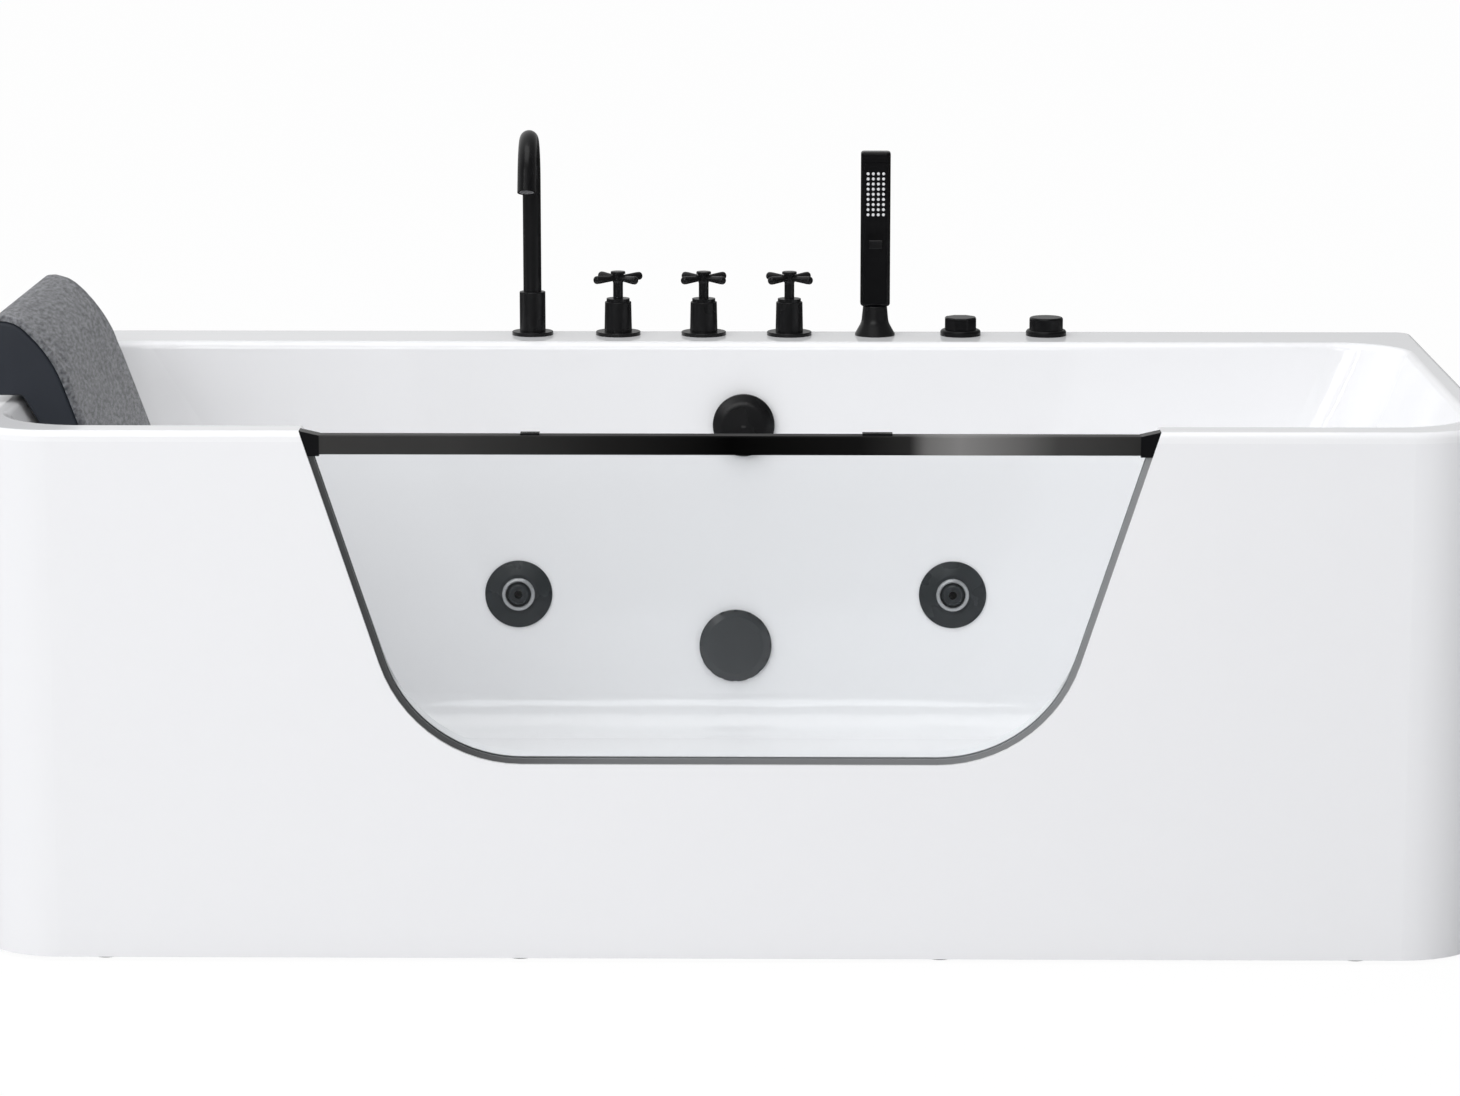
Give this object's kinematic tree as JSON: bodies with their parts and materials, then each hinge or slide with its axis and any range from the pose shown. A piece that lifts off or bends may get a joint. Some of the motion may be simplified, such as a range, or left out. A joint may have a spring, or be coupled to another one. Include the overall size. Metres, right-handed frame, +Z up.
{
  "type": "jetted bathtub",
  "caption": "Rectangular acrylic bathtub with a glass front panel, massage jets, head pillow and a row of deck-mounted spout, valves, hand shower and controls.",
  "frame": {"origin": "on the floor under the middle of the tub", "axes": "+X towards the foot end, +Y towards the wall side with the fittings, +Z up; the glass faces -Y"},
  "size_m": [1.7, 0.8, 0.862],
  "materials": {
    "white_acrylic": "gloss",
    "white_acrylic_apron": "gloss",
    "clear_glass": "polished clear glass",
    "grey_rubber": "satin",
    "black_rail": "satin",
    "black_bracket": "satin",
    "black_clip": "satin",
    "pillow_foam": "satin moulded foam skin",
    "pillow_suede": "brushed suede",
    "clear_cup": "smooth",
    "black_fitting": "matte",
    "grey_nozzle": "satin",
    "brass_body": "cast",
    "copper_pipe": "drawn tube",
    "black_handset": "satin",
    "black_plastic": "satin",
    "white_pipe": "satin",
    "slate_jet": "satin",
    "clear_hose_pipe": "smooth",
    "black_pump": "satin",
    "pump_casing": "painted casting",
    "white_box": "satin",
    "board_ply": "raw plywood",
    "steel_frame": "zinc coated",
    "black_foot": "satin"
  },
  "bodies": {
    "tub": {"tub_shell": "white_acrylic", "apron_skirt": "white_acrylic_apron", "window_glass": "clear_glass", "window_seal": "grey_rubber", "glass_rail": "black_rail", "left_rail_bracket": "black_bracket", "right_rail_bracket": "black_bracket", "rail_clips": "black_clip", "pillow_core": "pillow_foam", "pillow_pad": "pillow_suede", "pillow_cups": "clear_cup", "spout_base": "black_fitting", "hot_escutcheon": "black_fitting", "diverter_escutcheon": "black_fitting", "cold_escutcheon": "black_fitting", "hot_valve": "brass_body", "diverter_valve": "brass_body", "cold_valve": "brass_body", "feed_pipes": "copper_pipe", "shower_holder": "black_fitting", "air_valve": "black_plastic", "button_housing": "black_plastic", "deck_nuts": "brass_body", "overflow_body": "white_pipe", "overflow_pipe": "white_pipe", "drain_flange": "black_fitting", "drain_body": "white_pipe", "suction_cover": "slate_jet", "suction_body": "white_pipe", "suction_pipe": "white_pipe", "left_jet_flange": "slate_jet", "right_jet_flange": "slate_jet", "left_jet_body": "white_pipe", "right_jet_body": "white_pipe", "water_manifold": "white_pipe", "air_pipe": "clear_hose_pipe", "pump_wet_end": "black_pump", "pump_motor": "pump_casing", "control_box": "white_box", "base_board": "board_ply", "base_frame": "steel_frame", "deck_posts": "steel_frame", "levelling_feet": "black_foot"},
    "spout": {"spout": "black_fitting", "spout_aerator": "grey_nozzle"},
    "hot_handle": {"hot_handle": "black_fitting"},
    "diverter_handle": {"diverter_handle": "black_fitting"},
    "cold_handle": {"cold_handle": "black_fitting"},
    "hand_shower": {"hand_shower": "black_handset", "hand_shower_cap": "black_handset", "spray_nozzles": "grey_nozzle"},
    "spray_selector": {"spray_selector": "black_handset"},
    "air_knob": {"air_knob": "black_plastic"},
    "pump_button": {"pump_button": "black_plastic"},
    "overflow_knob": {"overflow_knob": "black_fitting"},
    "drain_plug": {"drain_plug": "black_fitting"},
    "left_jet_ring": {"left_jet_ring": "slate_jet"},
    "right_jet_ring": {"right_jet_ring": "slate_jet"},
    "left_jet_nozzle": {"left_jet_nozzle": "slate_jet"},
    "right_jet_nozzle": {"right_jet_nozzle": "slate_jet"}
  },
  "joints": [
    {"name": "spout_swivel", "type": "hinge", "parent": "tub", "child": "spout", "pos_m": [-0.256, 0.364, 0.7], "axis": [0, 0, 1], "range_deg": [-90, 90]},
    {"name": "hot_turn", "type": "hinge", "parent": "tub", "child": "hot_handle", "pos_m": [-0.1485, 0.364, 0.65], "axis": [0, 0, 1], "range_deg": [0, 90]},
    {"name": "diverter_turn", "type": "hinge", "parent": "tub", "child": "diverter_handle", "pos_m": [-0.041, 0.364, 0.65], "axis": [0, 0, 1], "range_deg": [0, 90]},
    {"name": "cold_turn", "type": "hinge", "parent": "tub", "child": "cold_handle", "pos_m": [0.0665, 0.364, 0.65], "axis": [0, 0, 1], "range_deg": [-90, 0]},
    {"name": "hand_shower_lift", "type": "slide", "parent": "tub", "child": "hand_shower", "axis": [0, 0, 1], "range_m": [0, 0.2]},
    {"name": "spray_select", "type": "slide", "parent": "hand_shower", "child": "spray_selector", "axis": [0, 0, 1], "range_m": [0, 0.009]},
    {"name": "air_turn", "type": "hinge", "parent": "tub", "child": "air_knob", "pos_m": [0.2815, 0.364, 0.615], "axis": [0, 0, 1], "range_deg": [0, 180]},
    {"name": "button_push", "type": "slide", "parent": "tub", "child": "pump_button", "axis": [0, 0, -1], "range_m": [0, 0.004], "stiffness_N_per_m": 400, "springref_m": -0.002},
    {"name": "overflow_turn", "type": "hinge", "parent": "tub", "child": "overflow_knob", "pos_m": [0.01, 0.28787, 0.498], "axis": [0, -0.9976, 0.0698], "range_deg": [0, 90]},
    {"name": "plug_lift", "type": "slide", "parent": "tub", "child": "drain_plug", "axis": [0, 0, 1], "range_m": [0, 0.01]},
    {"name": "left_jet_flow", "type": "hinge", "parent": "tub", "child": "left_jet_ring", "pos_m": [-0.271, 0.27304, 0.286], "axis": [0, -0.9976, 0.0698], "range_deg": [0, 90]},
    {"name": "left_jet_aim", "type": "hinge", "parent": "left_jet_ring", "child": "left_jet_nozzle", "pos_m": [-0.271, 0.27304, 0.286], "axis": [1, 0, 0], "range_deg": [-12, 12]},
    {"name": "right_jet_flow", "type": "hinge", "parent": "tub", "child": "right_jet_ring", "pos_m": [0.271, 0.27304, 0.286], "axis": [0, -0.9976, 0.0698], "range_deg": [0, 90]},
    {"name": "right_jet_aim", "type": "hinge", "parent": "right_jet_ring", "child": "right_jet_nozzle", "pos_m": [0.271, 0.27304, 0.286], "axis": [1, 0, 0], "range_deg": [-12, 12]}
  ],
  "couplings": [
    {"joint": "plug_lift", "follows": "overflow_turn", "m_per_rad": 0.006366}
  ]
}
